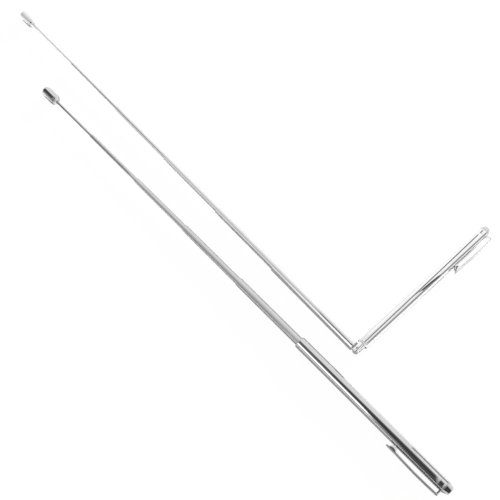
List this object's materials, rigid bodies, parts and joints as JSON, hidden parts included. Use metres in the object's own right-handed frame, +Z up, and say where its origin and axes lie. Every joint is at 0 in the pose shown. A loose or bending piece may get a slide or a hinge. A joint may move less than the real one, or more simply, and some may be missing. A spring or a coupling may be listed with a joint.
{
  "type": "telescopic antenna rod pair",
  "caption": "Pair of pen-type telescopic antenna rods with pocket clips, swivelling fold-over knuckles and rounded tip buttons, one drawn out straight and one folded square.",
  "frame": {"origin": "the middle of the pair's footprint, on the surface the rods lie on", "axes": "+Z up; +X along the straight rod from its tip button towards its end knob; +Y from the straight rod towards the bent rod, along the bent rod's handle"},
  "size_m": [0.5622, 0.1806, 0.009],
  "materials": {
    "handle_chrome": "polished chrome plate, mirror bright",
    "section_chrome": "drawn and chrome plated, bright with fine lengthwise drawing lines",
    "turned_steel": "turned bright steel",
    "spring_brass": "plain brass, slightly dull"
  },
  "bodies": {
    "straight_handle": {"straight_handle_tube": "handle_chrome", "straight_end_plug": "turned_steel", "straight_clip_ring": "handle_chrome", "straight_end_knob": "handle_chrome"},
    "straight_clip": {"straight_clip_blade": "handle_chrome"},
    "straight_carriage": {"straight_carriage_bush": "turned_steel", "straight_carriage_spring": "turned_steel"},
    "straight_first_section": {"straight_knuckle_fork": "section_chrome", "straight_hinge_pin": "turned_steel", "straight_swivel_retainer": "turned_steel", "straight_knuckle_tongue": "section_chrome", "straight_section_1_tube": "section_chrome"},
    "straight_section_2": {"straight_section_2_tube": "section_chrome", "straight_section_2_spring": "spring_brass"},
    "straight_section_3": {"straight_section_3_tube": "section_chrome", "straight_section_3_spring": "spring_brass"},
    "straight_section_4": {"straight_section_4_tube": "section_chrome", "straight_section_4_spring": "spring_brass"},
    "straight_section_5": {"straight_section_5_tube": "section_chrome", "straight_section_5_spring": "spring_brass"},
    "straight_tip": {"straight_tip_rod": "section_chrome", "straight_section_6_spring": "spring_brass", "straight_tip_button": "section_chrome"},
    "bent_first_section": {"bent_knuckle_tongue": "section_chrome", "bent_section_1_tube": "section_chrome"},
    "bent_section_2": {"bent_section_2_tube": "section_chrome", "bent_section_2_spring": "spring_brass"},
    "bent_section_3": {"bent_section_3_tube": "section_chrome", "bent_section_3_spring": "spring_brass"},
    "bent_section_4": {"bent_section_4_tube": "section_chrome", "bent_section_4_spring": "spring_brass"},
    "bent_section_5": {"bent_section_5_tube": "section_chrome", "bent_section_5_spring": "spring_brass"},
    "bent_tip": {"bent_tip_rod": "section_chrome", "bent_section_6_spring": "spring_brass", "bent_tip_button": "section_chrome"},
    "bent_knuckle": {"bent_knuckle_fork": "section_chrome", "bent_hinge_pin": "turned_steel", "bent_swivel_retainer": "turned_steel"},
    "bent_handle": {"bent_carriage_bush": "turned_steel", "bent_carriage_spring": "turned_steel", "bent_handle_tube": "handle_chrome", "bent_end_plug": "turned_steel", "bent_clip_ring": "handle_chrome", "bent_end_knob": "handle_chrome"},
    "bent_clip": {"bent_clip_blade": "handle_chrome"}
  },
  "joints": [
    {"name": "straight_clip_flex", "type": "hinge", "parent": "straight_handle", "child": "straight_clip", "pos_m": [0.27619, -0.08933, 0.0045], "axis": [0, 0, 1], "range_deg": [0, 3], "stiffness_Nm_per_rad": 2},
    {"name": "straight_handle_slide", "type": "slide", "parent": "straight_handle", "child": "straight_carriage", "axis": [-1, 0, 0], "range_m": [0, 0.0947]},
    {"name": "straight_swivel", "type": "hinge", "parent": "straight_carriage", "child": "straight_first_section", "pos_m": [0.23014, -0.08138, 0.0045], "axis": [-1, 0, 0], "continuous": true},
    {"name": "straight_section_2_slide", "type": "slide", "parent": "straight_first_section", "child": "straight_section_2", "axis": [-1, 0, 0], "range_m": [-0.065, 0.0017]},
    {"name": "straight_section_3_slide", "type": "slide", "parent": "straight_section_2", "child": "straight_section_3", "axis": [-1, 0, 0], "range_m": [-0.0631, 0.0044]},
    {"name": "straight_section_4_slide", "type": "slide", "parent": "straight_section_3", "child": "straight_section_4", "axis": [-1, 0, 0], "range_m": [-0.0616, 0.0079]},
    {"name": "straight_section_5_slide", "type": "slide", "parent": "straight_section_4", "child": "straight_section_5", "axis": [-1, 0, 0], "range_m": [-0.0619, 0.0088]},
    {"name": "straight_section_6_slide", "type": "slide", "parent": "straight_section_5", "child": "straight_tip", "axis": [-1, 0, 0], "range_m": [-0.0508, 0.0154]},
    {"name": "bent_rod_lift", "type": "slide", "parent": "straight_handle", "child": "bent_first_section", "axis": [0, 0, 1], "range_m": [0, 0.06]},
    {"name": "bent_section_2_slide", "type": "slide", "parent": "bent_first_section", "child": "bent_section_2", "axis": [-0.9996, 0.0279, 0], "range_m": [-0.0667, 0]},
    {"name": "bent_section_3_slide", "type": "slide", "parent": "bent_section_2", "child": "bent_section_3", "axis": [-0.9996, 0.0279, 0], "range_m": [-0.0675, 0]},
    {"name": "bent_section_4_slide", "type": "slide", "parent": "bent_section_3", "child": "bent_section_4", "axis": [-0.9996, 0.0279, 0], "range_m": [-0.0695, 0]},
    {"name": "bent_section_5_slide", "type": "slide", "parent": "bent_section_4", "child": "bent_section_5", "axis": [-0.9996, 0.0279, 0], "range_m": [-0.0707, 0]},
    {"name": "bent_section_6_slide", "type": "slide", "parent": "bent_section_5", "child": "bent_tip", "axis": [-0.9996, 0.0279, 0], "range_m": [-0.0662, 0]},
    {"name": "bent_knuckle_hinge", "type": "hinge", "parent": "bent_first_section", "child": "bent_knuckle", "pos_m": [0.17299, -0.05538, 0.0045], "axis": [0, 0, 1], "range_deg": [-91.6, 0.8]},
    {"name": "bent_swivel", "type": "hinge", "parent": "bent_knuckle", "child": "bent_handle", "pos_m": [0.17299, -0.05538, 0.0045], "axis": [0, 1, 0], "continuous": true},
    {"name": "bent_clip_flex", "type": "hinge", "parent": "bent_handle", "child": "bent_clip", "pos_m": [0.18094, 0.08538, 0.0045], "axis": [0, 0, 1], "range_deg": [0, 3], "stiffness_Nm_per_rad": 2}
  ]
}
